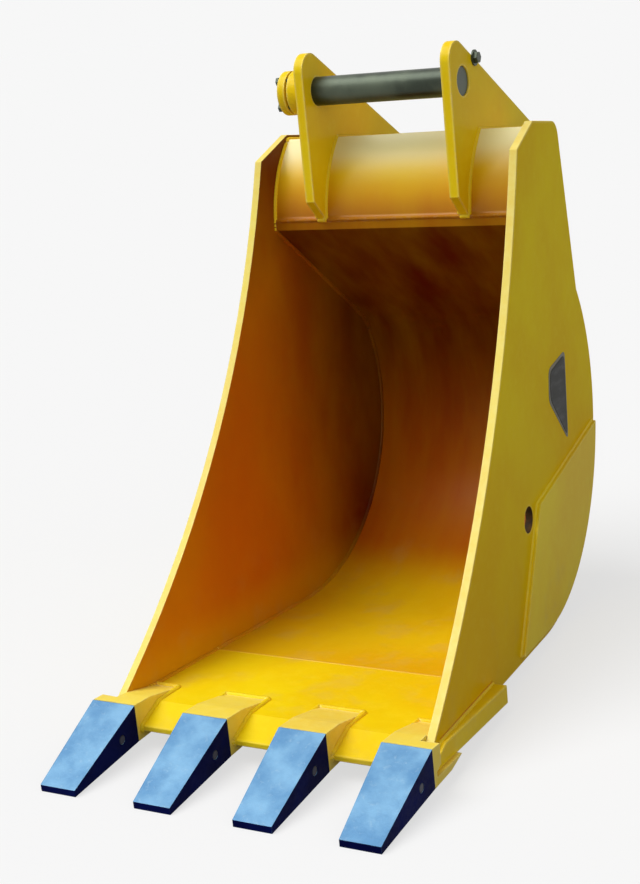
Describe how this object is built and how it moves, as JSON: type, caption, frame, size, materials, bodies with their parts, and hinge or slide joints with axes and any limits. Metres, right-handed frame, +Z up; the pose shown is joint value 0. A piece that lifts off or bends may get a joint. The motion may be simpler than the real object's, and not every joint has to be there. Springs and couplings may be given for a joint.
{
  "type": "excavator bucket",
  "caption": "Narrow trenching bucket for a compact excavator, with rolled heel, hanger ears, flanged arm pin and bolt-free slip-on teeth.",
  "frame": {"origin": "on the ground under the middle of the bucket's box; the tooth points and the wear strips under the heel stand on it", "axes": "+Z up, -Y out of the mouth towards the tooth points, +X towards the right side plate"},
  "size_m": [0.422, 0.805, 0.733],
  "materials": {
    "paint": "gloss industrial yellow, scuffed at edges",
    "tooth_steel": "bare cast alloy steel, blue-grey",
    "pin_steel": "dark oiled steel"
  },
  "bodies": {
    "shell": {"side_plate_left": "paint", "side_plate_right": "paint", "wrapper": "paint", "cutting_edge": "paint", "box_front_plate": "paint", "box_top_plate": "paint", "box_back_plate": "paint", "ear_left": "paint", "ear_right": "paint", "arm_boss": "paint", "link_boss_left": "paint", "link_boss_right": "paint", "tooth_adapter_1": "paint", "tooth_adapter_2": "paint", "tooth_adapter_3": "paint", "tooth_adapter_4": "paint", "tooth_1": "tooth_steel", "tooth_2": "tooth_steel", "tooth_3": "tooth_steel", "tooth_4": "tooth_steel", "heel_plate_left": "paint", "heel_plate_right": "paint", "wear_strip_1": "paint", "wear_strip_2": "paint", "wear_strip_3": "paint"},
    "arm_pin": {"bucket_pin": "pin_steel", "pin_flange": "paint"},
    "pin_bolts": {"pin_bolts": "pin_steel"},
    "lock_pin_1": {"lock_pin_1": "pin_steel"},
    "lock_pin_2": {"lock_pin_2": "pin_steel"},
    "lock_pin_3": {"lock_pin_3": "pin_steel"},
    "lock_pin_4": {"lock_pin_4": "pin_steel"}
  },
  "joints": [
    {"name": "arm_pin_slide", "type": "slide", "parent": "shell", "child": "arm_pin", "axis": [-1, 0, 0], "range_m": [0, 0.235]},
    {"name": "pin_bolts_out", "type": "slide", "parent": "arm_pin", "child": "pin_bolts", "axis": [-1, 0, 0], "range_m": [0, 0.03]},
    {"name": "lock_pin_1_out", "type": "slide", "parent": "shell", "child": "lock_pin_1", "axis": [1, 0, 0], "range_m": [0, 0.058]},
    {"name": "lock_pin_2_out", "type": "slide", "parent": "shell", "child": "lock_pin_2", "axis": [1, 0, 0], "range_m": [0, 0.058]},
    {"name": "lock_pin_3_out", "type": "slide", "parent": "shell", "child": "lock_pin_3", "axis": [1, 0, 0], "range_m": [0, 0.058]},
    {"name": "lock_pin_4_out", "type": "slide", "parent": "shell", "child": "lock_pin_4", "axis": [1, 0, 0], "range_m": [0, 0.058]}
  ]
}
